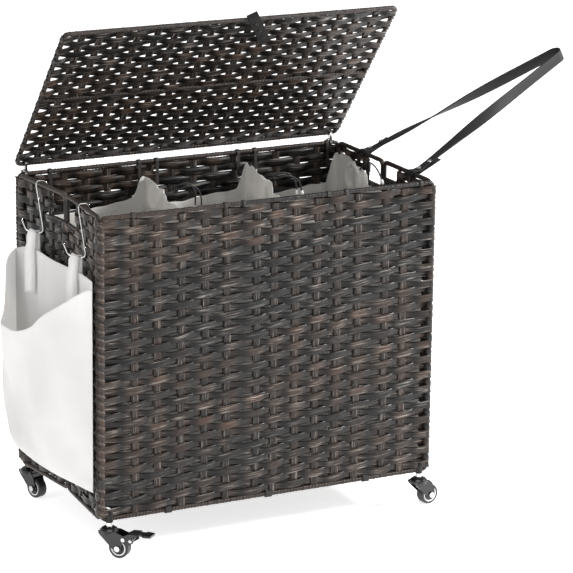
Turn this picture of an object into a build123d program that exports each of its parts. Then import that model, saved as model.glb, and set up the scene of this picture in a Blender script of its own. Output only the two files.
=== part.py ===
from build123d import *
import math
import os

# A rolling laundry sorter: four folding woven panels on wound steel rods, a woven lid,
# three fabric liners, a side bag on two wire hooks, a leather pull strap and four casters.
# Millimetres.  Z is up, the front faces -Y, the pull strap is on the +X side, and the
# origin is on the floor below the middle of the basket.

# ---------------------------------------------------------------- driving dimensions
WIDTH = 665.0          # outside of the wound rods, left to right
DEPTH = 372.0          # outside of the wound rods, front to back
BODY_HEIGHT = 555.0    # bottom rail to rim
GROUND_GAP = 64.0      # floor to the bottom rail
ROD = 9.0              # wound rod, outside
WEAVE = 3.0            # woven panel, as a plain sheet
WEAVE_INSET = 7.5      # rod axis to the edge of the sheet
PAIR = 9.6             # axis to axis of two rods that stand side by side
FOLD_IN = 15.0         # how far the left side is folded in at its middle
FIT = 0.35             # clearance of a loop or wrap on what it goes round

RIM_Z = GROUND_GAP + BODY_HEIGHT - ROD / 2
RAIL_Z = GROUND_GAP + ROD / 2
SIDE_X = WIDTH / 2 - ROD / 2
FRONT_Y = -(DEPTH / 2 - ROD / 2)
SIDE_Y = FRONT_Y + PAIR            # side panels start one rod behind the front panel
CORNER_BEND = 9.0

WINDOW_FROM_FOLD = 10.5            # handle opening, measured from the fold post axis
WINDOW_WIDTH = 46.0
WINDOW_DROP = 50.0                 # rim axis to the sill axis
SHORT_WINDOW_DROP = 31.0           # the one at the front of the right side
INNER_BAR = 6.0

BASE_ROD = 7.0
BASE_X = 303.0
BASE_Y = -FRONT_Y - ROD / 2 - BASE_ROD / 2 - 0.4
BASE_Z = 70.0

LINER_SPANS = {"left": (-284.0, -74.0), "middle": (-70.0, 130.0), "right": (134.0, 319.5)}
LINER_Y = 173.6
LINER_BOTTOM = 82.0
LINER_TOP = 560.0
EAR_TOP = 592.0
EAR_RUN = 106.0                    # how far the raised corner runs forward
EAR_BACK = 56.0                    # how far it runs along the rear wall
LINER_WALL = 2.0

CORD = 3.0                         # drawcord diameter
TIP = 5.0                          # its end cap
TIP_LENGTH = 9.0

LID_LENGTH = 367.0
LID_RISE = 13.2                    # closed lid rod above the rim rod, axis to axis
LID_OPEN = 51.0                    # degrees from closed
HINGE_BACK = 9.5                   # hinge pin behind the rear rim rod
HINGE_UP = 3.0                     # and above it
HINGE_X = 314.0
PIN = 3.0

STRAP_WIDTH = 20.0
STRAP_THICK = 2.6
STRAP_Y = (-109.0, 76.0)           # where its ends go round the right rim
STRAP_REACH = 411.0                # rim axis to the outside of its turn
STRAP_LIFT = 26.0                  # degrees above level
STRAP_TAB = 62.0
STRAP_WRAP = 1.8

HOOK_WIRE = 3.0
HOOK_Y = (-97.0, 92.0)
BAG_BACK_X = -340.0
BAG_TOP = 498.0
BAG_BOTTOM = 118.0
BAG_HALF = 172.0
BAG_BULGE_TOP = 85.0
BAG_BULGE_BOTTOM = 62.0
BAG_LIP_FALL = 2.35                # the mouth falls this much per mm outward
BAG_LIP_RISE = 0.69                # and rises this much per mm towards the rear
BAG_WALL = 2.0

WHEEL_R = 19.0
TRAIL = 21.0                       # axle behind the swivel axis
STEM_X = SIDE_X - 14.0
STEM_R = 4.0
BORE_GAP = 0.05
# where each caster trails, in degrees from +X, and whether it has a brake
CASTERS = {
    "fl": (-1, -1, -49.0, True),
    "fr": (1, -1, 8.0, False),
    "rl": (-1, 1, -72.0, False),
    "rr": (1, 1, -35.0, True),
}

nodes = {}


# ---------------------------------------------------------------- helpers
def tube(points, bends, radius, closed=False):
    """A round rod along straight runs with rounded corners."""
    path = FilletPolyline(*points, radius=bends, close=closed)
    section = Plane(origin=path @ 0, z_dir=path % 0) * Circle(radius)
    return sweep(section, path=path)


def bar(start, end, radius):
    """A straight round bar between two points."""
    a = Vector(*start)
    b = Vector(*end)
    section = Plane(origin=a, z_dir=b - a) * Circle(radius)
    return extrude(section, amount=(b - a).length)


def along(p, q, distance):
    """The plan point at a distance from p towards q."""
    length = math.dist(p, q)
    t = distance / length
    return (p[0] + (q[0] - p[0]) * t, p[1] + (q[1] - p[1]) * t)


def upright(p, q, start, end, z_low, z_high, thickness):
    """An upright plate on the line p-q, from start to end along it."""
    a = along(p, q, start)
    b = along(p, q, end)
    angle = math.degrees(math.atan2(q[1] - p[1], q[0] - p[0]))
    place = Location(((a[0] + b[0]) / 2, (a[1] + b[1]) / 2, (z_low + z_high) / 2), (0, 0, angle))
    return place * Box(end - start, thickness, z_high - z_low)


def panel_frame(p, q):
    """The wound rod round a panel whose post axes stand on p and q."""
    corners = [(*p, RAIL_Z), (*q, RAIL_Z), (*q, RIM_Z), (*p, RIM_Z)]
    return tube(corners, CORNER_BEND, ROD / 2, closed=True)


def band(a, b, axis, width, wall=1.6, inner=ROD / 2 + FIT):
    """A flat strip bent round two parallel rods with axes through a and b."""
    a = Vector(*a)
    b = Vector(*b)
    span = (b - a).length
    ring = SlotCenterToCenter(span, 2 * (inner + wall)) - SlotCenterToCenter(span, 2 * inner)
    place = Plane(origin=(a + b) * 0.5, x_dir=b - a, z_dir=Vector(*axis))
    return extrude(place * ring, amount=width / 2, both=True)


def group(solids):
    """Separate solids that share one node."""
    return Compound(children=[part for solid in solids for part in solid.solids()])


# ---------------------------------------------------------------- front and rear panels
def stem_boss(sign_x, y):
    """The socket on the bottom rail that takes a caster stem."""
    return Pos(sign_x * STEM_X, y, GROUND_GAP - 1.5) * Cylinder(
        7.0, 21.5, align=(Align.CENTER, Align.CENTER, Align.MIN)
    )


def stem_bore(sign_x, y):
    return Pos(sign_x * STEM_X, y, GROUND_GAP - 3.0) * Cylinder(
        STEM_R + BORE_GAP, 20.0, align=(Align.CENTER, Align.CENTER, Align.MIN)
    )


for side, y in (("front", FRONT_Y), ("rear", -FRONT_Y)):
    left = (-SIDE_X, y)
    right = (SIDE_X, y)
    frame = panel_frame(left, right)
    sheet = upright(
        left, right, WEAVE_INSET, 2 * SIDE_X - WEAVE_INSET,
        RAIL_Z + WEAVE_INSET, RIM_Z - WEAVE_INSET, WEAVE,
    )
    for sign_x in (-1, 1):
        frame = frame + stem_boss(sign_x, y)
        frame = frame - stem_bore(sign_x, y)
        sheet = sheet - Pos(sign_x * STEM_X, y, GROUND_GAP + 11) * Box(17, 17, 22)
    nodes[f"{side}_frame"] = frame
    nodes[f"{side}_weave"] = sheet


# ---------------------------------------------------------------- side panels, two halves each
def side_half(name, corner, fold, window_drop):
    """One half of a side: rod frame, handle opening beside the fold, woven sheet."""
    length = math.dist(corner, fold)
    jamb = length - WINDOW_FROM_FOLD - WINDOW_WIDTH
    sill_z = RIM_Z - window_drop
    jamb_at = along(corner, fold, jamb)
    frame = panel_frame(corner, fold)
    frame = frame + bar((*jamb_at, sill_z), (*jamb_at, RIM_Z), INNER_BAR / 2)
    frame = frame + bar((*jamb_at, sill_z), (*fold, sill_z), INNER_BAR / 2)
    frame = frame + Pos(*jamb_at, sill_z) * Sphere(INNER_BAR / 2)
    low = RAIL_Z + WEAVE_INSET
    edge = INNER_BAR / 2 + 0.6
    sheet = upright(corner, fold, WEAVE_INSET, length - WEAVE_INSET, low, sill_z - edge, WEAVE)
    sheet = sheet + upright(
        corner, fold, WEAVE_INSET, jamb - edge, sill_z - edge, RIM_Z - WEAVE_INSET, WEAVE
    )
    nodes[f"{name}_frame"] = frame
    nodes[f"{name}_weave"] = sheet


FOLD_X = {"left": -SIDE_X + FOLD_IN, "right": SIDE_X}
CORNER_X = {"left": -SIDE_X, "right": SIDE_X}
for side in ("left", "right"):
    front_fold = (FOLD_X[side], -PAIR / 2)
    rear_fold = (FOLD_X[side], PAIR / 2)
    front_drop = SHORT_WINDOW_DROP if side == "right" else WINDOW_DROP
    side_half(f"{side}_front", (CORNER_X[side], SIDE_Y), front_fold, front_drop)
    side_half(f"{side}_rear", (CORNER_X[side], -SIDE_Y), rear_fold, WINDOW_DROP)

# Loops of strip that tie the posts in pairs, so that the panels fold at them.
LOOP_WIDTH = 12.0
loops = []
for z in (GROUND_GAP + 70, GROUND_GAP + 285, GROUND_GAP + 500):
    for x in (-SIDE_X, SIDE_X):
        for sign_y in (-1, 1):
            front_post = (x, sign_y * -FRONT_Y, z)
            side_post = (x, sign_y * -SIDE_Y, z)
            loops.append(band(front_post, side_post, (0, 0, 1), LOOP_WIDTH))
for z in (GROUND_GAP + 70, GROUND_GAP + 285, GROUND_GAP + 475):
    for x in FOLD_X.values():
        loops.append(band((x, -PAIR / 2, z), (x, PAIR / 2, z), (0, 0, 1), LOOP_WIDTH))
nodes["panel_tie_loops"] = group(loops)

# ---------------------------------------------------------------- folding base
base_corners = [
    (-BASE_X, -BASE_Y, BASE_Z), (BASE_X, -BASE_Y, BASE_Z),
    (BASE_X, BASE_Y, BASE_Z), (-BASE_X, BASE_Y, BASE_Z),
]
base = tube(base_corners, 12.0, BASE_ROD / 2, closed=True)
for x in (-BASE_X / 3, BASE_X / 3):
    base = base + bar((x, -BASE_Y, BASE_Z), (x, BASE_Y, BASE_Z), 2.5)
nodes["base_frame"] = base
board_z = BASE_Z + BASE_ROD / 2 + 0.3 + WEAVE / 2
nodes["base_board"] = Pos(0, 0, board_z) * Box(
    2 * BASE_X - 14, 2 * (BASE_Y - WEAVE_INSET), WEAVE
)
base_loops = []
for x in (-200, 0, 200):
    for sign_y in (-1, 1):
        rail = (x, sign_y * -FRONT_Y, RAIL_Z)
        rod = (x, sign_y * BASE_Y, BASE_Z)
        base_loops.append(band(rail, rod, (1, 0, 0), LOOP_WIDTH, wall=1.4))
nodes["base_loops"] = group(base_loops)


# ---------------------------------------------------------------- liners
def liner(x_low, x_high):
    """An open-topped bag with its rear right corner pulled up."""
    mid = (x_low + x_high) / 2
    outer = Pos(mid, 0, LINER_BOTTOM) * extrude(
        RectangleRounded(x_high - x_low, 2 * LINER_Y, 10), amount=EAR_TOP - LINER_BOTTOM
    )
    inner = Pos(mid, 0, LINER_BOTTOM + LINER_WALL) * extrude(
        RectangleRounded(x_high - x_low - 2 * LINER_WALL, 2 * (LINER_Y - LINER_WALL), 8),
        amount=EAR_TOP,
    )
    above = EAR_TOP - LINER_TOP + 10
    front_cut = Pos(mid, -EAR_RUN, LINER_TOP + above / 2) * Box(400, 2 * LINER_Y, above)
    left_cut = Pos(x_high - EAR_BACK - 200, 0, LINER_TOP + above / 2) * Box(400, 400, above)
    return outer - inner - front_cut - left_cut


for name, (x_low, x_high) in LINER_SPANS.items():
    nodes[f"liner_{name}"] = liner(x_low, x_high)

# Ties that hang the liners on the front and rear rims.
TIE_WIDTH = 6.0
TIE_WALL = 0.9
TIE_TAIL = 44.0
TIE_INSET = 16.0
ties = []
for x_low, x_high in LINER_SPANS.values():
    for x in (x_low + TIE_INSET, x_high - TIE_INSET):
        for sign_y in (-1, 1):
            y = sign_y * -FRONT_Y
            ring = extrude(
                Plane(origin=(x, y, RIM_Z), z_dir=(1, 0, 0))
                * (Circle(ROD / 2 + FIT + TIE_WALL) - Circle(ROD / 2 + FIT)),
                amount=TIE_WIDTH / 2, both=True,
            )
            tail_y = y - sign_y * (ROD / 2 + FIT + TIE_WALL / 2 + 0.35)
            tail = Pos(x, tail_y, RIM_Z - TIE_TAIL / 2) * Box(TIE_WIDTH, TIE_WALL, TIE_TAIL)
            ties.append(ring + tail)
nodes["liner_ties"] = group(ties)

# ---------------------------------------------------------------- drawcords
# Each route starts at the front end of a liner's raised hem.
EXITS = {
    "left": (LINER_SPANS["left"][1] - 3, LINER_Y - EAR_RUN - 2, EAR_TOP - 6),
    "middle": (LINER_SPANS["middle"][1] - 3, LINER_Y - EAR_RUN - 2, EAR_TOP - 6),
    "right": (LINER_SPANS["right"][1] - 6, LINER_Y - EAR_RUN - 2, EAR_TOP - 6),
}
DRAWCORDS = {
    "left_a": ("left", [
        (0, 0, 0), (5, -3, 6), (14, -6, 11), (25, -7, 13), (35, -7, 9),
        (42, -6, 0), (45.5, -5, -11), (46.5, -4, -23), (46, -3.5, -34),
    ]),
    "left_b": ("left", [
        (1, -6, -5), (7, -10, 1), (17, -13, 6), (29, -14, 8), (41, -13, 5),
        (50, -11, -3), (55, -9, -14), (57, -8, -25), (57, -7, -35),
    ]),
    "middle_a": ("middle", [
        (0, 0, 0), (5, -3, 7), (14, -6, 12), (26, -7, 12), (37, -6, 6),
        (45, -5, -3), (50, -4, -14), (52, -3, -25),
    ]),
    "middle_b": ("middle", [
        (1, -6, -4), (7, -10, 3), (18, -14, 7), (30, -15, 7), (42, -14, 2),
        (51, -12, -6), (57, -10, -16), (60, -8, -26),
    ]),
    "right_a": ("right", [
        (0, 0, 0), (0, -8, 9), (1, -19, 17), (2, -32, 21), (2.5, -46, 20),
        (3, -59, 15), (3, -71, 7), (2.5, -81, -3),
    ]),
}


def bend_radii(points):
    """The largest arc that each corner's two runs allow."""
    radii = []
    for before, at, after in zip(points, points[1:], points[2:]):
        run_in = Vector(*at) - Vector(*before)
        run_out = Vector(*after) - Vector(*at)
        turn = math.radians(run_in.get_angle(run_out))
        radii.append(0.45 * min(run_in.length, run_out.length) / math.tan(turn / 2))
    return radii


tips = []
for name, (exit_name, steps) in DRAWCORDS.items():
    start = EXITS[exit_name]
    route = [tuple(a + b for a, b in zip(start, step)) for step in steps]
    radii = bend_radii(route)
    path = FilletPolyline(*route, radius=radii)
    section = Plane(origin=path @ 0, z_dir=path % 0) * Circle(CORD / 2)
    cord = sweep(section, path=path)
    share = cord.volume / (math.pi * CORD**2 / 4 * path.length)
    print(f"drawcord_{name}: {path.length:.1f} mm, volume share {share:.4f}, "
          f"tightest radius {min(radii):.1f}, radii {[round(r, 1) for r in radii]}")
    nodes[f"drawcord_{name}"] = cord
    end = path @ 1
    cap = extrude(Plane(origin=end, z_dir=path % 1) * Circle(TIP / 2), amount=TIP_LENGTH)
    tips.append(cap)
nodes["drawcord_tips"] = group(tips)

# ---------------------------------------------------------------- lid
LID_Z = RIM_Z + LID_RISE
LID_REAR_Y = -FRONT_Y
LID_FRONT_Y = LID_REAR_Y - (LID_LENGTH - ROD)
LID_MID_Y = (LID_REAR_Y + LID_FRONT_Y) / 2
hinge_y = LID_REAR_Y + HINGE_BACK
hinge_z = RIM_Z + HINGE_UP
hinge_axis = Axis((0, hinge_y, hinge_z), (1, 0, 0))


def opened(shape):
    """Turn a piece of the closed lid up to where the lid rests."""
    return shape.rotate(hinge_axis, -LID_OPEN)


lid_corners = [
    (-SIDE_X, LID_REAR_Y, LID_Z), (SIDE_X, LID_REAR_Y, LID_Z),
    (SIDE_X, LID_FRONT_Y, LID_Z), (-SIDE_X, LID_FRONT_Y, LID_Z),
]
lid_frame = tube(lid_corners, CORNER_BEND, ROD / 2, closed=True)
lid_frame = lid_frame + bar((-SIDE_X, LID_MID_Y, LID_Z), (SIDE_X, LID_MID_Y, LID_Z), 3.5)
nodes["lid_frame"] = opened(lid_frame)

LID_HALF = (LID_LENGTH - ROD) / 2 - WEAVE_INSET - 5
lid_sheets = []
for y in (LID_REAR_Y - WEAVE_INSET - LID_HALF / 2, LID_FRONT_Y + WEAVE_INSET + LID_HALF / 2):
    lid_sheets.append(Pos(0, y, LID_Z) * Box(2 * (SIDE_X - WEAVE_INSET), LID_HALF, WEAVE))
nodes["lid_weave"] = opened(group(lid_sheets))

# Hinges: a loop on the rim with an ear, a loop on the lid rod with an ear, and a pin.
EYE = 3.4
HINGE_WALL = 1.4
HINGE_PART = 4.6


def hinge_leaf(rod_y, rod_z, x_low):
    """A strip bent round a rod, with an eye at the pin."""
    place = Plane(origin=(x_low, 0, 0), x_dir=(0, 1, 0), z_dir=(1, 0, 0))
    ring = Pos(rod_y, rod_z) * Circle(ROD / 2 + FIT + HINGE_WALL)
    eye = Pos(hinge_y, hinge_z) * Circle(EYE)
    outline = make_hull((ring + eye).edges())
    outline = outline - Pos(rod_y, rod_z) * Circle(ROD / 2 + FIT)
    outline = outline - Pos(hinge_y, hinge_z) * Circle(PIN / 2 + BORE_GAP)
    return extrude(place * outline, amount=HINGE_PART)


brackets = []
arms = []
pins = []
for sign_x in (-1, 1):
    bracket_x = sign_x * HINGE_X - HINGE_PART - 0.2
    arm_x = sign_x * HINGE_X + 0.2
    brackets.append(hinge_leaf(LID_REAR_Y, RIM_Z, bracket_x))
    arms.append(hinge_leaf(LID_REAR_Y, LID_Z, arm_x))
    pin = bar(
        (bracket_x - 1.2, hinge_y, hinge_z),
        (arm_x + HINGE_PART + 1.2, hinge_y, hinge_z), PIN / 2,
    )
    for head_x in (bracket_x - 1.8, arm_x + HINGE_PART + 0.4):
        pin = pin + bar((head_x, hinge_y, hinge_z), (head_x + 1.4, hinge_y, hinge_z), 2.6)
    pins.append(pin)
nodes["lid_hinge_brackets"] = group(brackets)
nodes["lid_hinge_arms"] = opened(group(arms))
nodes["lid_hinge_pins"] = group(pins)

# Leather pull folded round the lid's front rod, with three rivets through both layers.
PULL_X = 34.5
PULL_SKEW = -33.0
PULL_WIDTH = 21.0
PULL_LENGTH = 83.0
PULL_WALL = 1.6
PULL_INNER = ROD / 2 + 0.5
PULL_SETBACK = 6.6
RIVET_STEPS = (16.2, 39.0, 62.0)
pull_place = Location((PULL_X, LID_FRONT_Y - PULL_SETBACK, LID_Z), (0, 0, PULL_SKEW))
pull_ring = SlotCenterToCenter(PULL_LENGTH, 2 * (PULL_INNER + PULL_WALL))
pull_ring = pull_ring - SlotCenterToCenter(PULL_LENGTH, 2 * PULL_INNER)
pull_ring = pull_ring - Pos(PULL_LENGTH / 2 + 10, 0) * Rectangle(20, 30)
pull_plane = Plane(origin=(0, PULL_LENGTH / 2, 0), x_dir=(0, 1, 0), z_dir=(1, 0, 0))
pull = extrude(pull_plane * pull_ring, amount=PULL_WIDTH / 2, both=True)
rivet_reach = PULL_INNER + PULL_WALL
rivets = []
for step in RIVET_STEPS:
    shank = Pos(0, step, 0) * Cylinder(1.6, 2 * rivet_reach + 1)
    heads = [
        Pos(0, step, side * (rivet_reach + 0.9)) * Cylinder(3.8, 1.4) for side in (-1, 1)
    ]
    rivets.append(shank + heads[0] + heads[1])
    pull = pull - Pos(0, step, 0) * Cylinder(1.7, 3 * rivet_reach)
nodes["lid_pull"] = opened(pull_place * pull)
nodes["lid_pull_rivets"] = opened(group([pull_place * rivet for rivet in rivets]))
weave_slots = [pull_place * (Pos(0, step, 0) * Cylinder(2.2, 8)) for step in RIVET_STEPS]
for slot in weave_slots:
    nodes["lid_weave"] = nodes["lid_weave"] - opened(slot)
nodes["lid_weave"] = group([nodes["lid_weave"]])

# ---------------------------------------------------------------- pull strap
# Drawn level, along +X from the right rim, then lifted.
strap_mid = (STRAP_Y[0] + STRAP_Y[1]) / 2
strap_half = (STRAP_Y[1] - STRAP_Y[0]) / 2
turn_x = STRAP_REACH - STRAP_THICK / 2
strap_line = FilletPolyline(
    (STRAP_TAB - 8, -strap_half, 0), (turn_x, -16, 0), (turn_x, 16, 0),
    (STRAP_TAB - 8, strap_half, 0), radius=12.0,
)
strap_plane = Plane(origin=strap_line @ 0, x_dir=(0, 0, 1), z_dir=strap_line % 0)
strap = sweep(strap_plane * Rectangle(STRAP_WIDTH, STRAP_THICK), path=strap_line)
STRAP_RIVETS = (16.0, 40.0)
strap_rivets = []
wrap_inner = ROD / 2 + FIT
for sign_y in (-1, 1):
    wrap = extrude(
        Plane(origin=(0, sign_y * strap_half, 0), x_dir=(1, 0, 0), z_dir=(0, 1, 0))
        * (Circle(wrap_inner + STRAP_WRAP) - Circle(wrap_inner)),
        amount=STRAP_WIDTH / 2, both=True,
    )
    tab_start = wrap_inner + STRAP_WRAP / 2
    tab_length = STRAP_TAB - tab_start
    tab = Pos(tab_start + tab_length / 2, sign_y * strap_half, 0) * Box(
        tab_length, STRAP_WIDTH, 2 * STRAP_THICK
    )
    strap = strap + wrap + tab
    for step in STRAP_RIVETS:
        place = Pos(step, sign_y * strap_half, 0)
        strap = strap - place * Cylinder(1.7, 40)
        rivet = place * Cylinder(1.6, 2 * STRAP_THICK + 1)
        for side in (-1, 1):
            rivet = rivet + place * Pos(0, 0, side * (STRAP_THICK + 0.9)) * Cylinder(4.0, 1.4)
        strap_rivets.append(rivet)
strap_place = Location((SIDE_X, strap_mid, RIM_Z), (0, -STRAP_LIFT, 0))
nodes["pull_strap"] = strap_place * strap
nodes["pull_strap_rivets"] = group([strap_place * rivet for rivet in strap_rivets])

# ---------------------------------------------------------------- side bag and hooks
HOOK_TOP = ROD / 2 + HOOK_WIRE / 2 + FIT
HOOK_STEPS = [
    (8.0, 0.0, -6.0), (8.0, 1.0, HOOK_TOP), (-9.5, 6.0, HOOK_TOP),
    (-10.0, -30.0, -82.0), (-30.0, 2.0, -82.0), (-36.0, 9.0, -62.0),
]
HOOK_BENDS = [6.0, 6.0, 7.0, 8.0]
LOOP_SEAT = 20.8                   # from the lower inside corner to the middle of the loop
LOOP_HALF = 10.0


def hook_x(y):
    """The rim axis at a place along the folded left side."""
    share = (abs(y) - PAIR / 2) / (-SIDE_Y - PAIR / 2)
    return FOLD_X["left"] - FOLD_IN * share


hooks = []
loops = []
for y in HOOK_Y:
    base_point = (hook_x(y), y, RIM_Z)
    points = [tuple(a + b for a, b in zip(base_point, step)) for step in HOOK_STEPS]
    hooks.append(tube(points, HOOK_BENDS, HOOK_WIRE / 2))
    seat_a = Vector(*points[3])
    seat_b = Vector(*points[4])
    direction = (seat_b - seat_a).normalized()
    seat = seat_a + direction * LOOP_SEAT
    loop_inner = HOOK_WIRE / 2 + FIT
    loop_wall = 1.2
    drop = seat.Z - loop_inner - loop_wall - BAG_TOP - 0.3
    ring = SlotCenterToCenter(drop, 2 * (loop_inner + loop_wall))
    ring = ring - SlotCenterToCenter(drop, 2 * loop_inner)
    centre = Vector(seat.X, seat.Y, seat.Z - drop / 2)
    place = Plane(origin=centre, x_dir=(0, 0, 1), z_dir=direction)
    loops.append(extrude(place * ring, amount=LOOP_HALF, both=True))
nodes["s_hooks"] = group(hooks)
nodes["side_bag_loops"] = group(loops)


def lens(half, bulge, back_x, z):
    """A flat back and a bulging front, in plan."""
    arc = ThreePointArc((back_x, -half, z), (back_x - bulge, 0, z), (back_x, half, z))
    back = Line((back_x, half, z), (back_x, -half, z))
    return make_face(Wire([*arc.edges(), *back.edges()]))


outer_bag = loft([
    lens(BAG_HALF, BAG_BULGE_BOTTOM, BAG_BACK_X, BAG_BOTTOM),
    lens(BAG_HALF, BAG_BULGE_TOP, BAG_BACK_X, BAG_TOP),
])
inner_bag = loft([
    lens(BAG_HALF - 8, BAG_BULGE_BOTTOM - 2 * BAG_WALL, BAG_BACK_X - BAG_WALL,
         BAG_BOTTOM + BAG_WALL),
    lens(BAG_HALF - 8, BAG_BULGE_TOP - 2 * BAG_WALL, BAG_BACK_X - BAG_WALL, BAG_TOP + 1),
])
mouth_plane = Plane(
    origin=(BAG_BACK_X - BAG_WALL, -BAG_HALF, BAG_TOP),
    z_dir=(-BAG_LIP_FALL, -BAG_LIP_RISE, 1),
)
mouth_cut = mouth_plane * Box(1200, 1200, 300, align=(Align.CENTER, Align.CENTER, Align.MIN))
mouth_cut = mouth_cut & Pos(BAG_BACK_X - BAG_WALL, 0, BAG_TOP) * Box(
    200, 600, 400, align=(Align.MAX, Align.CENTER, Align.CENTER)
)
nodes["side_bag"] = outer_bag - inner_bag - mouth_cut

# ---------------------------------------------------------------- casters
RIVET_HEAD_Z = 41.0
CROWN_LOW = 43.6
CROWN_HIGH = 54.9
COLLAR_LOW = 55.3
FORK_INNER = 10.4
FORK_PLATE = 1.8
AXLE_R = 3.0
PIVOT = (33.0, 38.0)               # brake pivot: behind the swivel axis, above the floor
SHOE_RIVET = (47.0, 38.0)
PIVOT_R = 2.0
CHEEK_INNER = 12.6
CHEEK_PLATE = 1.6


def turned(profile):
    """A solid of revolution about Z from (radius, height) points."""
    return revolve(make_face(Polyline(*[(r, 0, z) for r, z in profile], close=True)), Axis.Z)


def plate_xz(outline, y_low, y_high):
    """A flat plate with an outline in X and Z."""
    face = make_face(Polyline(*[(x, y_low, z) for x, z in outline], close=True))
    return extrude(face, amount=y_high - y_low, dir=(0, 1, 0))


def cross_pin(x, z, radius, y_low, y_high):
    return bar((x, y_low, z), (x, y_high, z), radius)


def caster_stem():
    return turned([
        (0, RIVET_HEAD_Z), (6.5, RIVET_HEAD_Z), (6.5, 43.2), (STEM_R, 43.2),
        (STEM_R, COLLAR_LOW), (6.0, COLLAR_LOW), (6.0, 62.2), (STEM_R, 62.2),
        (STEM_R, 80.0), (0, 80.0),
    ])


def caster_fork(braked):
    crown = turned([
        (STEM_R + BORE_GAP, CROWN_LOW), (16.2, CROWN_LOW), (17.0, 46.0), (16.4, 49.5),
        (13.4, 52.6), (9.2, CROWN_HIGH), (STEM_R + BORE_GAP, CROWN_HIGH),
    ])
    outline = [(-16.0, 49.0), (-15.0, 43.0), (14.2, 14.6), (TRAIL, 11.6), (27.8, 14.6)]
    if braked:
        outline = outline + [(30.0, 30.0), (38.2, 34.0), (38.2, 42.0), (17.0, 49.0)]
    else:
        outline = outline + [(29.0, 27.0), (24.0, 42.0), (16.0, 49.0)]
    fork = crown
    for y_low in (FORK_INNER, -FORK_INNER - FORK_PLATE):
        plate = plate_xz(outline, y_low, y_low + FORK_PLATE)
        core = Pos(0, 0, CROWN_LOW - 40) * Cylinder(
            8.0, 80, align=(Align.CENTER, Align.CENTER, Align.CENTER)
        )
        fork = fork + (plate - core)
    fork = fork - cross_pin(TRAIL, WHEEL_R, AXLE_R + BORE_GAP, -20, 20)
    if braked:
        fork = fork - cross_pin(*PIVOT, PIVOT_R + BORE_GAP, -20, 20)
    return fork


def caster_axle():
    outer = FORK_INNER + FORK_PLATE + 0.2
    axle = cross_pin(TRAIL, WHEEL_R, AXLE_R, -outer - 1, outer + 1)
    for y_low in (outer, -outer - 2.6):
        axle = axle + cross_pin(TRAIL, WHEEL_R, 5.2, y_low, y_low + 2.6)
    return axle


def caster_wheel():
    wheel = cross_pin(TRAIL, WHEEL_R, 14.3, -8.2, 8.2)
    wheel = wheel + cross_pin(TRAIL, WHEEL_R, 5.0, -9.8, 9.8)
    for y_low, y_high in ((6.9, 12.0), (-12.0, -6.9)):
        recess = cross_pin(TRAIL, WHEEL_R, 11.8, y_low, y_high)
        recess = recess - cross_pin(TRAIL, WHEEL_R, 5.0, y_low, y_high)
        wheel = wheel - recess
    return wheel - cross_pin(TRAIL, WHEEL_R, AXLE_R + BORE_GAP, -20, 20)


def caster_tyre():
    tread = cross_pin(TRAIL, WHEEL_R, WHEEL_R, -9.0, 9.0)
    tread = fillet(tread.edges().filter_by(GeomType.CIRCLE), 3.0)
    return tread - cross_pin(TRAIL, WHEEL_R, 14.35, -20, 20)


def caster_pedal():
    outline = [(28.5, 36.0), (30.5, 42.5), (42.0, 49.2), (58.0, 50.2), (58.0, 46.8),
               (50.5, 44.0), (52.0, 34.0), (44.0, 28.5), (39.6, 28.5), (36.0, 33.5),
               (31.0, 33.5)]
    pedal = None
    for y_low in (CHEEK_INNER, -CHEEK_INNER - CHEEK_PLATE):
        cheek = plate_xz(outline, y_low, y_low + CHEEK_PLATE)
        pedal = cheek if pedal is None else pedal + cheek
    half = CHEEK_INNER + CHEEK_PLATE
    pedal = pedal + plate_xz([(42.0, 47.4), (42.0, 49.2), (58.0, 50.2), (58.0, 48.4)], -half, half)
    shoe = plate_xz([(39.6, 28.5), (44.0, 28.5), (44.0, 32.0), (39.6, 32.0)], -half, half)
    tab_outline = Polyline(
        (56.0, -8, 0), (66.0, -8, 0), (71.0, -13, 0), (84.0, -11, 0), (84.0, 11, 0),
        (71.0, 13, 0), (66.0, 8, 0), (56.0, 8, 0), close=True,
    )
    tab = Pos(0, 0, 46.6) * extrude(make_face(tab_outline), amount=3.6)
    pedal = pedal + shoe + tab
    pedal = pedal - cross_pin(*PIVOT, PIVOT_R + BORE_GAP, -20, 20)
    pedal = pedal - cross_pin(*SHOE_RIVET, PIVOT_R + BORE_GAP, -20, 20)
    rivet = cross_pin(*SHOE_RIVET, PIVOT_R, -half - 1, half + 1)
    for y_low in (half + 0.1, -half - 1.5):
        rivet = rivet + cross_pin(*SHOE_RIVET, 3.6, y_low, y_low + 1.4)
    return group([pedal, rivet])


def brake_pivot():
    half = CHEEK_INNER + CHEEK_PLATE
    pin = cross_pin(*PIVOT, PIVOT_R, -half - 1, half + 1)
    for y_low in (half + 0.3, -half - 1.7):
        pin = pin + cross_pin(*PIVOT, 3.6, y_low, y_low + 1.4)
    return pin


stems = []
for name, (sign_x, sign_y, heading, braked) in CASTERS.items():
    swivel = Location((sign_x * STEM_X, sign_y * -FRONT_Y, 0), (0, 0, heading))
    stems.append(swivel * caster_stem())
    nodes[f"caster_{name}_fork"] = swivel * caster_fork(braked)
    nodes[f"caster_{name}_axle"] = swivel * caster_axle()
    nodes[f"caster_{name}_wheel"] = swivel * caster_wheel()
    nodes[f"caster_{name}_tyre"] = swivel * caster_tyre()
    if braked:
        nodes[f"caster_{name}_pedal"] = swivel * caster_pedal()
        nodes[f"caster_{name}_brake_pivot"] = swivel * brake_pivot()
nodes["caster_stems"] = group(stems)

# ---------------------------------------------------------------- write one file per piece
os.makedirs("parts", exist_ok=True)
for node_name, shape in nodes.items():
    export_step(shape, f"parts/{node_name}.step")
print(len(nodes), "nodes written")
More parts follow.
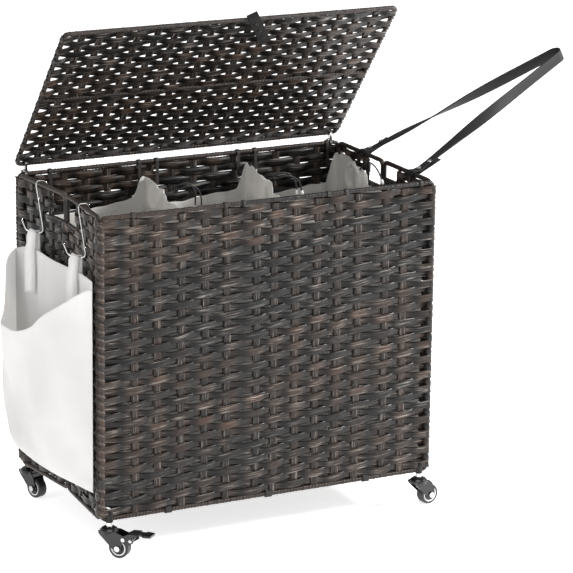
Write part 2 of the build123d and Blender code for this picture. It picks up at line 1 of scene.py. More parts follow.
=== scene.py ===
# %% [markdown]
# # A laundry sorter on wheels
#
# The real object is a basket of steel rods wound with flat plastic cane. Its four walls and its
# lid are woven, three grey cloth liners hang inside, an off-white bag hangs on two wire hooks,
# a leather strap pulls it along, and it stands on four casters.
#
# A CAD model already fixes where everything is and how it moves. This lesson builds the looks
# around it: every strand of the weave as real geometry, the folds of the cloth, and a material
# for each substance. All lengths are in millimetres until a mesh is made, which is in metres.

import math

import bpy
import numpy as np
from mathutils import Matrix, Vector


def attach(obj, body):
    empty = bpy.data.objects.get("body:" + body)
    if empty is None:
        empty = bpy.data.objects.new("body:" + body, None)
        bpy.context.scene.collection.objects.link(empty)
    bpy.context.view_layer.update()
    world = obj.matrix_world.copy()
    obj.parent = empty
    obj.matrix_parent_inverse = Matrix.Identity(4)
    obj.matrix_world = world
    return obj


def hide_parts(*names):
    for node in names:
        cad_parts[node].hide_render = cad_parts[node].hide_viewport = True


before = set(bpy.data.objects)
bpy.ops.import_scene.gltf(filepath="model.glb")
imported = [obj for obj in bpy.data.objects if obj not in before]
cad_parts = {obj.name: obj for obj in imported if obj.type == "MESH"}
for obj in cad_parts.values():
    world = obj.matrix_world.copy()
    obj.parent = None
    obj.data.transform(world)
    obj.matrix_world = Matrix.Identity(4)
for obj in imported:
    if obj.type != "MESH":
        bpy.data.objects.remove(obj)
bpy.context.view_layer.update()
dice = np.random.default_rng(7)
MM = 0.001

# %% [markdown]
# ## The dimensions that the looks share with the CAD model
#
# A wound rod is 9 mm across. The front and rear panels stand at Y -181.5 and 181.5, the sides
# at X -328 and 328, and the left side is folded in by 15 mm at its middle. The rim is 614.5 mm
# above the floor and the bottom rail 68.5 mm. One row of the weave takes 14.5 mm of height.

# %% Dimensions in millimetres
RIM_Z = 614.5
RAIL_Z = 68.5
SIDE_X = 328.0
WIDTH = 2 * SIDE_X
FRONT_Y = -181.5
SIDE_Y = -171.9
FOLD_Y = 4.8
FOLD_X = {"left": -313.0, "right": 328.0}
ROD_R = 4.5
CORNER_BEND = 9.0
HINGE = np.array([0.0, 191.0, 617.5])
LID_Z = 627.7
LID_REAR_Y = 181.5
LID_FRONT_Y = -176.5
LID_OPEN = math.radians(51)
ROW = 14.5
print("rim", RIM_Z, "rail", RAIL_Z)

# %% [markdown]
# ## The camera
#
# The camera stands 5.7 m away with a long lens, so the upright edges stay nearly parallel. It
# is made from the direction that it looks along, and then rolled by less than a degree.

# %% Place the camera
def link(made):
    """Put a new object into the scene."""
    bpy.context.scene.collection.objects.link(made)


def make_camera(location, azimuth, elevation, roll, lens):
    """A camera at a place, looking down an azimuth and elevation in degrees."""
    a, e, r = (math.radians(x) for x in (azimuth, elevation, roll))
    back = Vector((math.sin(a) * math.cos(e), -math.cos(a) * math.cos(e), math.sin(e)))
    right = Vector((0, 0, 1)).cross(back).normalized()
    up = back.cross(right)
    turned_right = right * math.cos(r) + up * math.sin(r)
    turned_up = up * math.cos(r) - right * math.sin(r)
    data = bpy.data.cameras.new("camera")
    data.sensor_width = 36
    data.lens = lens
    data.clip_start = 0.1
    data.clip_end = 60
    camera = bpy.data.objects.new("camera", data)
    axes = Matrix((turned_right, turned_up, back)).transposed().to_4x4()
    camera.matrix_world = Matrix.Translation(location) @ axes
    link(camera)
    bpy.context.scene.camera = camera
    return camera


camera = make_camera((-2.4179, -4.8789, 1.9123), -27.55, 15.40, 0.73, 194.0)
print("camera at", [round(x, 3) for x in camera.matrix_world.translation])

# %% [markdown]
# ## Materials: a few small tools
#
# A colour picked on a screen is an sRGB value, but Blender mixes light in linear values.
# `linear` turns the hex code of a colour into the numbers that Blender needs.
#
# A material here is a small tree of nodes. `add` puts one node into a tree, sets its options,
# and fills each input with a number or with a link from another node. `mottled` makes a colour
# a little lighter and darker from place to place, because no real surface has only one tone.

# %% Colour and node tools
def linear(hex_code):
    """An sRGB hex colour as linear RGBA."""
    channels = [int(hex_code[i:i + 2], 16) / 255 for i in (0, 2, 4)]
    bent = [c / 12.92 if c <= 0.04045 else ((c + 0.055) / 1.055) ** 2.4 for c in channels]
    return (*bent, 1.0)


def add(tree, kind, inputs=None, **options):
    """A shader node with its options set and its inputs filled."""
    made = tree.nodes.new("ShaderNode" + kind)
    for name, value in options.items():
        setattr(made, name, value)
    for name, value in (inputs or {}).items():
        if isinstance(value, bpy.types.NodeSocket):
            tree.links.new(value, made.inputs[name])
        else:
            made.inputs[name].default_value = value
    return made


def material(name):
    """A material without any nodes, and its tree."""
    made = bpy.data.materials.new(name)
    made.use_nodes = True
    tree = made.node_tree
    tree.nodes.clear()
    return made, tree


def finish_material(tree, inputs):
    """A Principled shader with these inputs, joined to the output."""
    shader = add(tree, "BsdfPrincipled", inputs)
    add(tree, "OutputMaterial", {"Surface": shader.outputs[0]})


def mottled(tree, colour, scale, tones, spread=(0.3, 0.7), detail=2.0):
    """A colour that noise makes darker and lighter, the noise, and the place it is read at."""
    place = add(tree, "TexCoord").outputs["Object"]
    noise = add(tree, "TexNoise", {"Vector": place, "Scale": scale, "Detail": detail})
    tone = add(tree, "MapRange", {0: noise.outputs[0], 1: spread[0], 2: spread[1],
                                  3: tones[0], 4: tones[1]})
    toned = add(tree, "VectorMath", {0: linear(colour)[:3], 3: tone.outputs[0]},
                operation="SCALE")
    return toned.outputs[0], noise.outputs[0], place


print("white paper", [round(x, 3) for x in linear("ffffff")])

# %% [markdown]
# ## Flat plastic cane
#
# The cane is extruded plastic with fine lines along it, sold in batches of slightly different
# brown and charcoal. Each strand carries three attributes on its points: where a point lies
# along and across the strand (`fibre`), how brown the batch is (`brown`), and how light it is
# painted (`tone`). Besides a random tone for each piece, `tone` holds painted shade where a
# woven strand dives, and painted shade and highlight on the turns of the winding.
# Noise that is stretched along the strand makes the lines, both in colour and as bumps. Where
# that noise is high, a line turns pale.

# %% Cane material
PALE_FROM, PALE_TO, PALE_MOST = 0.54, 0.75, 0.7
LINE_STRETCH = 0.022
PATCH_SIZE = (0.010, 0.28, 1.0)
PATCH_TONES = (0.6, 1.4)
CANE_GLOSS = 0.24


def cane_material(name, charcoal, brown, streak, roughness, line_width=0.9, bump=0.5):
    """Flat extruded cane: fine lines along the strand, charcoal to brown."""
    made, tree = material(name)
    fibre = add(tree, "Attribute", attribute_name="fibre")
    batch = add(tree, "Attribute", attribute_name="brown")
    tone = add(tree, "Attribute", attribute_name="tone")
    stretched = add(tree, "VectorMath", {0: fibre.outputs["Vector"],
                                         1: (LINE_STRETCH, 1 / line_width, 1.0)},
                    operation="MULTIPLY")
    lines = add(tree, "TexNoise", {"Vector": stretched.outputs[0], "Scale": 1.0, "Detail": 3.0,
                                   "Roughness": 0.6})
    wide = add(tree, "VectorMath", {0: fibre.outputs["Vector"], 1: PATCH_SIZE},
               operation="MULTIPLY")
    patches = add(tree, "TexNoise", {"Vector": wide.outputs[0], "Scale": 1.0, "Detail": 2.0})
    base = add(tree, "Mix", {0: batch.outputs["Fac"], 6: linear(charcoal), 7: linear(brown)},
               data_type="RGBA")
    streaky = add(tree, "MapRange", {0: lines.outputs[0], 1: PALE_FROM, 2: PALE_TO, 3: 0.0,
                                     4: PALE_MOST})
    streaked = add(tree, "Mix", {0: streaky.outputs[0], 6: base.outputs[2], 7: linear(streak)},
                   data_type="RGBA")
    shade = add(tree, "MapRange", {0: patches.outputs[0], 1: 0.3, 2: 0.7, 3: PATCH_TONES[0],
                                   4: PATCH_TONES[1]})
    both = add(tree, "Math", {0: shade.outputs[0], 1: tone.outputs["Fac"]}, operation="MULTIPLY")
    toned = add(tree, "VectorMath", {0: streaked.outputs[2], 3: both.outputs[0]},
                operation="SCALE")
    relief = add(tree, "Bump", {"Height": lines.outputs[0], "Strength": bump,
                                "Distance": 0.0006})
    finish_material(tree, {"Base Color": toned.outputs[0], "Roughness": roughness,
                           "Specular IOR Level": CANE_GLOSS, "Normal": relief.outputs[0]})
    return made


woven_cane = cane_material("woven plastic cane", "101112", "2d211a", "968d85", 0.36,
                            line_width=1.7)
wound_cane = cane_material("wound plastic cane", "141516", "32261f", "6b625c", 0.4)
print("cane materials ready")

# %% [markdown]
# ## Cloth, leather, steel, plastic and rubber
#
# Cloth gets a fine crossed weave as bumps, leather a pebbled grain, steel is a metal with little
# roughness, and the plastics are smooth dielectrics. The threads are about half a millimetre
# thick and the leather's grain is 0.8 mm. The cloths let through a part of the light, which
# `thinness` says.

# %% Plain materials
WAVES_PER_METRE = 6.3  # about so many light or dark bands in a wave texture of scale 1
FINE_RELIEF = 0.0003  # the height of threads and grains in metres


def cloth_material(name, colour, thread, thinness, roughness=0.92, bump=0.25):
    """Woven cloth: two crossed sets of threads as bumps; some light passes through it."""
    made, tree = material(name)
    toned, _, place = mottled(tree, colour, 9.0, (0.94, 1.03))
    threads = []
    for direction in ("Z", "DIAGONAL"):
        wave = add(tree, "TexWave", {"Vector": place, "Distortion": 0.4,
                                     "Scale": 1 / (thread * MM) / WAVES_PER_METRE},
                   bands_direction=direction)
        threads.append(wave.outputs[1])
    crossed = add(tree, "Math", {0: threads[0], 1: threads[1]}, operation="ADD")
    relief = add(tree, "Bump", {"Height": crossed.outputs[0], "Strength": bump,
                                "Distance": FINE_RELIEF})
    front = add(tree, "BsdfPrincipled", {"Base Color": toned, "Roughness": roughness,
                                         "Sheen Weight": 0.15, "Normal": relief.outputs[0]})
    through = add(tree, "BsdfTranslucent", {"Color": toned})
    thin = add(tree, "MixShader", {0: thinness, 1: front.outputs[0], 2: through.outputs[0]})
    add(tree, "OutputMaterial", {"Surface": thin.outputs[0]})
    return made


def grained_material(name, colour, roughness, grain, bump, metallic=0.0, coat=0.0, uneven=0.1,
                     gloss=0.5):
    """A plain substance with a fine grain of a given size in millimetres."""
    made, tree = material(name)
    toned, grains, _ = mottled(tree, colour, 1 / (grain * MM), (1 - uneven, 1 + uneven),
                               detail=3.0)
    relief = add(tree, "Bump", {"Height": grains, "Strength": bump, "Distance": FINE_RELIEF})
    finish_material(tree, {"Base Color": toned, "Roughness": roughness, "Metallic": metallic,
                           "Coat Weight": coat, "Specular IOR Level": gloss,
                           "Normal": relief.outputs[0]})
    return made


# Grey-white cotton, matt, and a little bright where the light comes through it.
liner_cloth = cloth_material("grey liner cloth", "dcdad6", 0.5, 0.3)
# Bleached canvas is whiter and lets more light through, so its shaded side glows softly.
bag_cloth = cloth_material("off-white bag cloth", "f4f3f2", 0.6, 0.5)
# Braided cotton cord is black and dull, with the bumps of its strands.
black_cord = grained_material("braided black cord", "1a1a1b", 0.8, 0.5, 0.6)
# The cord's moulded cap is smooth plastic with a soft highlight.
white_tip = grained_material("moulded white cord tip", "efefee", 0.35, 2.0, 0.05)
# Plated and drawn wire mirrors the studio in a thin bright line.
bright_steel = grained_material("plated steel wire", "bdbdbb", 0.14, 6.0, 0.0, metallic=1.0,
                                uneven=0.02)
# Baked paint on steel has a wide dim highlight.
painted_steel = grained_material("black painted steel", "232324", 0.42, 0.8, 0.15)
# Pebbled leather drinks most of the light, so it looks nearly matt.
dark_leather = grained_material("dark grey leather", "1b1a1a", 0.62, 0.8, 0.4, gloss=0.18)
# Moulded nylon comes out of its mould glossy, with small hard highlights.
black_nylon = grained_material("glossy black moulded nylon", "101011", 0.17, 2.0, 0.05,
                               coat=0.1, gloss=0.4)
# The wheel's pale ring is nylon too, a little less glossy.
white_nylon = grained_material("pale moulded nylon", "d9d9d8", 0.3, 2.0, 0.05)
# Rubber is deep black with a broad soft sheen.
black_tyre = grained_material("black rubber tyre", "161616", 0.45, 1.0, 0.2)
# The base is tied on with cotton tape, as dull as the cord.
tie_strip = grained_material("black cotton tie", "1b1a1a", 0.85, 0.5, 0.4)
# The other ties are dark cane without the pale lines, so they don't stand out.
tie_cane = grained_material("brown cane tie", "171310", 0.6, 0.9, 0.4)
# The board is pressed fibre, dark and rough.
base_board = grained_material("dark base board", "2b2826", 0.8, 1.2, 0.3)
print("materials:", len(bpy.data.materials))

# %% [markdown]
# ## Geometry: sweeping a cross-section along a path
#
# Strands, rods, straps and loops are all the same kind of shape: one flat outline carried
# along a path. `sweep` does that with arrays. The outline is given as (across, outward) pairs
# in millimetres, and `out` says which way is outward at each point of the path.

# %% Sweeping
def unit(v):
    """Vectors brought to a length of one."""
    return v / np.maximum(np.linalg.norm(v, axis=-1, keepdims=True), 1e-9)


def distances(line):
    """How far each point of a polyline is from its start, along it."""
    steps = np.linalg.norm(np.diff(line, axis=0), axis=1)
    return np.concatenate([[0], np.cumsum(steps)])


def line_length(line):
    """The length of a polyline."""
    return float(np.linalg.norm(np.diff(line, axis=0), axis=1).sum())


def sweep(path, out, section, closed=False, brown=0.5, tone=1.0, capped=False):
    """Carry an outline of (across, outward) pairs along a path."""
    path = np.asarray(path, float)
    if closed:
        tangent = unit(np.roll(path, -1, 0) - np.roll(path, 1, 0))
    else:
        tangent = unit(np.gradient(path, axis=0))
    out = np.broadcast_to(np.asarray(out, float), path.shape)
    side = unit(np.cross(out, tangent))
    out = np.cross(tangent, side)
    section = np.asarray(section, float)
    if section.ndim == 2:
        section = np.broadcast_to(section, (len(path), *section.shape))
    count, around = len(path), section.shape[1]
    points = (path[:, None] + side[:, None] * section[:, :, :1]
              + out[:, None] * section[:, :, 1:])
    fibre = np.zeros((count, around, 3))
    fibre[:, :, 0] = distances(path)[:, None]
    fibre[:, :, 1] = section[:, :, 0] + 0.3 * section[:, :, 1]
    fibre[:, :, 2] = dice.uniform(0, 900)
    i = np.arange(count if closed else count - 1)[:, None]
    j = np.arange(around)[None]
    ring, turn = (i + 1) % count, (j + 1) % around
    quads = np.stack([i * around + j, ring * around + j, ring * around + turn,
                      i * around + turn], -1).reshape(-1, 4)
    faces = quads.tolist()
    if capped:
        faces.append(list(range(around)))
        faces.append([(count - 1) * around + k for k in reversed(range(around))])
    return {
        "points": points.reshape(-1, 3), "faces": faces, "fibre": fibre.reshape(-1, 3),
        "brown": np.repeat(np.broadcast_to(brown, count), around),
        "tone": np.repeat(np.broadcast_to(tone, count), around),
    }


print("sweeping is ready")

# %% [markdown]
# ## Geometry: sheets, pieces and outlines
#
# Cloth is a grid of points. `surface` puts the coordinates together and `grid` joins the points
# with four-sided faces. `build` makes one Blender object from several parts, gives it its
# material, hangs it on the body that it moves with, and hides the CAD pieces that it stands for.

# %% Sheets, pieces and outlines
def surface(x, y, z):
    """Rows and columns of points from arrays of their coordinates."""
    return np.stack(np.broadcast_arrays(x, y, z), -1)


def grid(points, closed=False):
    """A sheet through a rows x columns x 3 array of points."""
    rows, columns = points.shape[:2]
    i = np.arange(rows - 1)[:, None]
    j = np.arange(columns if closed else columns - 1)[None]
    turn = (j + 1) % columns
    quads = np.stack([i * columns + j, i * columns + turn, (i + 1) * columns + turn,
                      (i + 1) * columns + j], -1).reshape(-1, 4)
    flat = points.reshape(-1, 3)
    return {"points": flat, "faces": quads.tolist(), "fibre": np.zeros_like(flat),
            "brown": np.zeros(len(flat)), "tone": np.ones(len(flat))}


def build(name, parts, finish, body, replaces=()):
    """One piece from several parts in millimetres, riding on a CAD body."""
    mesh = bpy.data.meshes.new(name)
    points = np.concatenate([p["points"] for p in parts]) * MM
    faces, start = [], 0
    for part in parts:
        faces.extend([[k + start for k in face] for face in part["faces"]])
        start += len(part["points"])
    mesh.from_pydata(points.tolist(), [], faces)
    for key, kind, field in (("fibre", "FLOAT_VECTOR", "vector"), ("brown", "FLOAT", "value"),
                             ("tone", "FLOAT", "value")):
        values = np.concatenate([p[key] for p in parts]).astype(np.float32)
        mesh.attributes.new(key, kind, "POINT").data.foreach_set(field, values.ravel())
    mesh.shade_smooth()
    mesh.materials.append(finish)
    made = bpy.data.objects.new(name, mesh)
    link(made)
    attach(made, body)
    if replaces:
        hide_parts(*replaces)
    return made


def round_section(radius, sides=12):
    """A circle as a section outline."""
    angles = np.arange(sides) * 2 * math.pi / sides
    return np.stack([radius * np.cos(angles), radius * np.sin(angles)], -1)


GROOVE_HEIGHT = 0.4
EDGE_HEIGHT = 0.3


def cane_section(width, thick, ribs):
    """A flat strand: thin edges, ribs on its face with grooves between them, a plain back."""
    across = np.linspace(-1, 1, 2 * ribs + 1)
    height = np.where(np.arange(2 * ribs + 1) % 2 == 1, 1.0, GROOVE_HEIGHT)
    height[[0, -1]] = EDGE_HEIGHT
    front = np.stack([across * width / 2, height * thick / 2], -1)
    return np.concatenate([front, front[[-1, ribs, 0]] * (1, -1)])


print("a strand's outline has", len(cane_section(14.6, 2.2, 3)), "points")

# %% [markdown]
# ## The drawcords
#
# A thin black cord comes out of the raised hem of each liner and ends in a white plastic tip.
# The routes are the same ones that the CAD model follows. A NURBS curve of order 3 with its
# ends clamped bends smoothly at each point, as a soft cord does.

# %% Drawcords
CORD = 3.0
EXITS = {"left": (-77.0, 65.6, 586.0), "middle": (127.0, 65.6, 586.0),
         "right": (313.5, 65.6, 586.0)}
DRAWCORDS = {
    "left_a": (86.4, [
        (0, 0, 0), (5, -3, 6), (14, -6, 11), (25, -7, 13), (35, -7, 9),
        (42, -6, 0), (45.5, -5, -11), (46.5, -4, -23), (46, -3.5, -34),
    ]),
    "left_b": (90.5, [
        (1, -6, -5), (7, -10, 1), (17, -13, 6), (29, -14, 8), (41, -13, 5),
        (50, -11, -3), (55, -9, -14), (57, -8, -25), (57, -7, -35),
    ]),
    "middle_a": (79.0, [
        (0, 0, 0), (5, -3, 7), (14, -6, 12), (26, -7, 12), (37, -6, 6),
        (45, -5, -3), (50, -4, -14), (52, -3, -25),
    ]),
    "middle_b": (81.4, [
        (1, -6, -4), (7, -10, 3), (18, -14, 7), (30, -15, 7), (42, -14, 2),
        (51, -12, -6), (57, -10, -16), (60, -8, -26),
    ]),
    "right_a": (95.4, [
        (0, 0, 0), (0, -8, 9), (1, -19, 17), (2, -32, 21), (2.5, -46, 20),
        (3, -59, 15), (3, -71, 7), (2.5, -81, -3),
    ]),
}


def cord_curve(name, points, diameter, finish):
    """A soft cord through control points in metres."""
    data = bpy.data.curves.new(name, "CURVE")
    data.dimensions = "3D"
    data.bevel_depth = diameter / 2
    data.bevel_resolution = 4
    data.resolution_u = 10
    data.use_fill_caps = True
    spline = data.splines.new("NURBS")
    spline.points.add(len(points) - 1)
    for knot, point in zip(spline.points, points):
        knot.co = (*point, 1.0)
    spline.order_u = 3
    spline.use_endpoint_u = True
    data.materials.append(finish)
    made = bpy.data.objects.new(name, data)
    link(made)
    return made


TIP_STEPS = np.array([-1.0, 0.0, 0.6, 7.0, 8.4, 9.0])
TIP_RADII = np.array([1.8, 2.1, 2.5, 2.5, 2.0, 0.9])


def cord_tip(name, start, direction):
    """The moulded cap on a cord's end: a short barrel, rounded at its far end."""
    path = np.asarray(start) + np.outer(TIP_STEPS, direction)
    side = np.cross(direction, (0.3, 1, 0.2))
    section = np.stack([round_section(r, 16) for r in TIP_RADII])
    return build(name, [sweep(path, side, section, capped=True)], white_tip, "basket")


for name, (length, steps) in DRAWCORDS.items():
    route = np.array(EXITS[name.split("_")[0]]) + np.array(steps)
    cord = cord_curve("cord_" + name, (route * MM).tolist(), CORD * MM, black_cord)
    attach(cord, "basket")
    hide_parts("drawcord_" + name)
    tip = cord_tip("cord_tip_" + name, route[-1], unit(route[-1] - route[-2]))
    if name == "left_a":
        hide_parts("drawcord_tips")
print("drawcords:", len(DRAWCORDS))

# %% [markdown]
# ## The wound rods
#
# Each frame is a steel rod wound with a strip of cane. On the rails the strip runs round and
# round, so the surface has a ridge every few millimetres that climbs like a screw thread. On
# the posts the strip stops and the bare rod is thinner, because there the weave's own strands
# go round it. `post_wraps` draws those on the four corners, with one bulge for each row.

# %% Wound rods
WIND_PITCH = 6.4
PATH_STEP = 1.6
BARE_R = 3.5
BARE_TONE = 0.4
WIND_UNEVEN = 0.25
WIND_BATCH = 0.3


def rounded_loop(corners, bend, step):
    """Points along a closed loop with rounded corners."""
    corners = np.asarray(corners, float)
    points = []
    for k in range(len(corners)):
        at, before, after = corners[k], corners[k - 1], corners[(k + 1) % len(corners)]
        start, end = at + unit(before - at) * bend, at + unit(after - at) * bend
        for t in np.linspace(0, 1, 6):
            points.append(start * (1 - t) ** 2 + at * 2 * t * (1 - t) + end * t ** 2)
        leave = corners[(k + 1) % len(corners)] + unit(at - after) * bend
        count = int(np.linalg.norm(leave - end) // step)
        points.extend(end + (leave - end) * t for t in np.linspace(0, 1, count + 2)[1:-1])
    return np.array(points)


print("rounded loops are ready")

# %% [markdown]
# ## The winding
#
# The winding is a ridge on the rod's outline that moves on by one turn in every 6.4 mm. Each
# turn differs a little in height and in colour, as a strip wound by hand does.

# %% Winding
def wound(path, out, radius, depth, closed, pitch=WIND_PITCH, brown=0.4, thin=None, sides=14):
    """A rod whose winding shows as a screw-like ridge; where `thin` is true it is bare."""
    angles = np.arange(sides) * 2 * math.pi / sides
    turns = distances(path)[:, None] / pitch + angles[None] / (2 * math.pi)
    phase = turns % 1
    turn = np.floor(turns).astype(int)
    shape = np.sin(math.pi * phase) ** 0.5
    uneven = dice.uniform(-WIND_UNEVEN, WIND_UNEVEN, turn.max() + 2)[turn]
    r = radius - depth + depth * shape + uneven * depth
    if thin is not None:
        r = np.where(thin[:, None], BARE_R, r)
    section = np.stack([r * np.cos(angles), r * np.sin(angles)], -1)
    part = sweep(path, out, section, closed=closed, brown=brown)
    batch = dice.uniform(-WIND_BATCH, WIND_BATCH, turn.max() + 2)[turn].ravel()
    part["brown"] = np.clip(part["brown"] + batch, 0, 1)
    # Painted shade and highlight: each turn is darker in the groove between turns and lighter on
    # its crest.
    tone = 0.3 + 1.1 * shape
    if thin is not None:
        tone = np.where(thin[:, None], BARE_TONE, tone)
    part["tone"] = tone.ravel()
    part["fibre"][:, 1] = (phase * 6).ravel()
    part["fibre"][:, 0] = np.broadcast_to(angles * radius, phase.shape).ravel()
    return part


def frame_parts(p, q, brown_of=None):
    """The wound rod round a panel whose post axes stand on plan points p and q."""
    corners = [(*p, RAIL_Z), (*q, RAIL_Z), (*q, RIM_Z), (*p, RIM_Z)]
    path = rounded_loop(corners, CORNER_BEND, PATH_STEP)
    along = unit(np.array([q[0] - p[0], q[1] - p[1], 0.0]))
    out = np.cross(along, (0, 0, 1))
    thin = (path[:, 2] > RAIL_Z + 8) & (path[:, 2] < RIM_Z - 8)
    u = (path - np.array([*p, 0])) @ along
    brown = brown_of(u, path[:, 2]) if brown_of else 0.45
    return [wound(path, out, ROD_R - 0.1, 1.1, True, brown=brown, thin=thin)]


def side_line(side, half):
    """Plan points of a side half: its corner post and its fold post."""
    sign = -1 if half == "front" else 1
    corner_x = -SIDE_X if side == "left" else SIDE_X
    return (corner_x, sign * -SIDE_Y), (FOLD_X[side], sign * FOLD_Y)


print("winding every", WIND_PITCH, "mm")

# %% [markdown]
# ## The frames
#
# Six wound frames stand round the basket: front, rear, and two for each side. The front and
# rear ones carry the casters' sockets. Beside each fold post a handle opening is left in the
# side, with narrow rods round it. `WINDOWS` says how far its sill lies below the rim.

# %% Wind the six frames
WINDOWS = {("left", "front"): 50.0, ("left", "rear"): 50.0, ("right", "front"): 31.0,
           ("right", "rear"): 50.0}
WINDOW_FROM_FOLD = 56.5
CASTER_X = 314.0
WRAP_R = 6.5
WRAP_DEPTH = 1.7
THIN_ROD = (3.2, 0.4)


def bosses(y):
    """The two sockets under a panel that take the caster stems."""
    parts = []
    for x in (-CASTER_X, CASTER_X):
        path = np.array([(x, y, z) for z in (62.5, 63.2, 83.0, 84.0)], float)
        section = np.stack([round_section(r, 24) for r in (6.2, 7.0, 7.0, 6.2)])
        parts.append(sweep(path, (0, -1, 0), section, brown=0.1, tone=0.6, capped=True))
    return parts


def post_wraps(x, y, brown):
    """The strands' ends wrapped round a corner post, one long bulge for each row."""
    path = np.array([(x, y, z) for z in np.arange(RAIL_Z + 5, RIM_Z - 5, 1.8)])
    return wound(path, (0, -1, 0), WRAP_R, WRAP_DEPTH, False, pitch=ROW, brown=brown)


MID_HEIGHT = 340.0


def rim_brown(u, z):
    """The front rim is browner at its left end, and the rail below it is even."""
    upper = z > MID_HEIGHT
    return np.clip(0.95 - u / 420, 0.12, 1) * upper + 0.55 * ~upper


for half, y in (("front", FRONT_Y), ("rear", -FRONT_Y)):
    parts = frame_parts((-SIDE_X, y), (SIDE_X, y), rim_brown if half == "front" else None)
    parts += [post_wraps(-SIDE_X, y, 0.7), post_wraps(SIDE_X, y, 0.25)]
    build(half + "_wound_frame", parts + bosses(y), wound_cane, "basket",
          [half + "_frame"])
for (side, half), drop in WINDOWS.items():
    corner, fold = side_line(side, half)
    parts = frame_parts(corner, fold)
    parts.append(post_wraps(*corner, 0.55 if half == "front" else 0.15))
    away = unit(np.array(corner) - np.array(fold))
    jamb = np.array(fold) + away * WINDOW_FROM_FOLD
    sill = RIM_Z - drop
    upright = np.array([(*jamb, z) for z in np.arange(sill, RIM_Z, PATH_STEP)])
    level = np.array([(*(jamb + (np.array(fold) - jamb) * t), sill)
                      for t in np.linspace(0, 1, 34)])
    outward = (-1 if side == "left" else 1, 0, 0)
    for path in (upright, level):
        parts.append(wound(path, outward, *THIN_ROD, False, brown=0.3))
    build(f"{side}_{half}_wound_frame", parts, wound_cane, "basket",
          [f"{side}_{half}_frame"])
print("frames wound:", 2 + len(WINDOWS))

# %% [markdown]
# ## The weave
#
# A panel has upright stakes and one long strand that goes to and fro between the posts, over
# one stake and under the next, and round the post at each end. Seen from the front, a strand
# leans: it climbs a little while it is in front of a stake and drops while it is behind.
#
# `strand` works in the panel's own plane, with u along it, v up it and n out of it. `weave`
# puts every point into the room. The batch colour of a row follows `bands`, and each float, the
# visible part over one stake, gets its own small differences.
#
# A strand is painted darker where it dives, by `raised`. Real cane isn't: this only deepens the
# shade between the floats, and isn't wear.

# %% Weave tools
BANDS = [(-1, 0.9), (5.5, 0.08), (17.5, 0.75), (20.5, 0.35), (23.5, 0.85), (29.5, 0.15),
         (33.5, 0.6)]
DIVE_TONE = 0.12
FLOAT_TONES = (0.6, 1.5)
BATCH_SPREAD = 0.13
LEVEL_SPREAD = 0.5
DEPTH_SPREAD = 0.25
STAKE_THICK = 2.0
STAKE_TONE = 0.95


def bands(row, u):
    """How brown the strand is: it was woven from alternate batches of cane."""
    level = BANDS[0][1]
    for start, share in BANDS:
        if row + 0.012 * (u - 200) >= start:
            level = share
    return level


def strand(xs, row, v, post_r, lean, top, bottom, amp):
    """One row of the weave in panel coordinates: u, v and n, and its nearest stake."""
    sign = 1 if row % 2 == 0 else -1
    sides = np.array([sign * (-1) ** i for i in range(len(xs))], float)
    heights = sides * (amp + dice.uniform(-DEPTH_SPREAD, DEPTH_SPREAD, len(xs)))
    heights[0], heights[-1] = sides[0] * post_r, sides[-1] * post_r
    level = v + dice.normal(0, LEVEL_SPREAD, len(xs))
    u, n, w, kink = [], [], [], []
    for i in range(len(xs) - 1):
        count = max(8, int((xs[i + 1] - xs[i]) / 3.2))
        t = np.arange(count) / count
        rise = lean * dice.uniform(0.6, 1.4)
        flat = np.clip((t - 0.1) / 0.8, 0, 1)
        blend = (1 - np.cos(math.pi * flat)) / 2
        u.append(xs[i] + (xs[i + 1] - xs[i]) * t)
        n.append(heights[i] + (heights[i + 1] - heights[i]) * blend)
        w.append(level[i] + (level[i + 1] - level[i]) * t
                 + sides[i] * rise * np.sin(math.pi * t))
        kink.append(i + (t >= 0.5))
    u, n, w = (np.concatenate([*part, [last]]) for part, last in
               ((u, xs[-1]), (n, heights[-1]), (w, level[-1])))
    kink = np.append(np.concatenate(kink), len(xs) - 1)
    step_end = ROW / 2 * sign
    ends = []
    for x, s, direction, at, shift in ((xs[-1], sides[-1], 1, w[-1], -step_end),
                                       (xs[0], sides[0], -1, w[0], step_end)):
        turn = np.radians(np.linspace(20, 140 if s > 0 else 80, 6))
        eu = x + direction * (post_r + 0.8) * np.sin(turn)
        en = s * post_r * np.cos(turn)
        ev = np.clip(at + shift * (turn / math.pi) ** 1.5, bottom, top)
        ends.append((eu, ev, en))
    right, left = ends
    u = np.concatenate([left[0][::-1], u, right[0]])
    v_all = np.concatenate([left[1][::-1], w, right[1]])
    n = np.concatenate([left[2][::-1], n, right[2]])
    kink = np.concatenate([np.full(6, 0), kink, np.full(6, len(xs) - 1)])
    return u, v_all, n, kink


print("batches of cane:", len(BANDS))

# %% [markdown]
# ## A whole panel
#
# `weave` lays one strand for each row, and then the upright stakes that the strands pass in
# front of and behind.

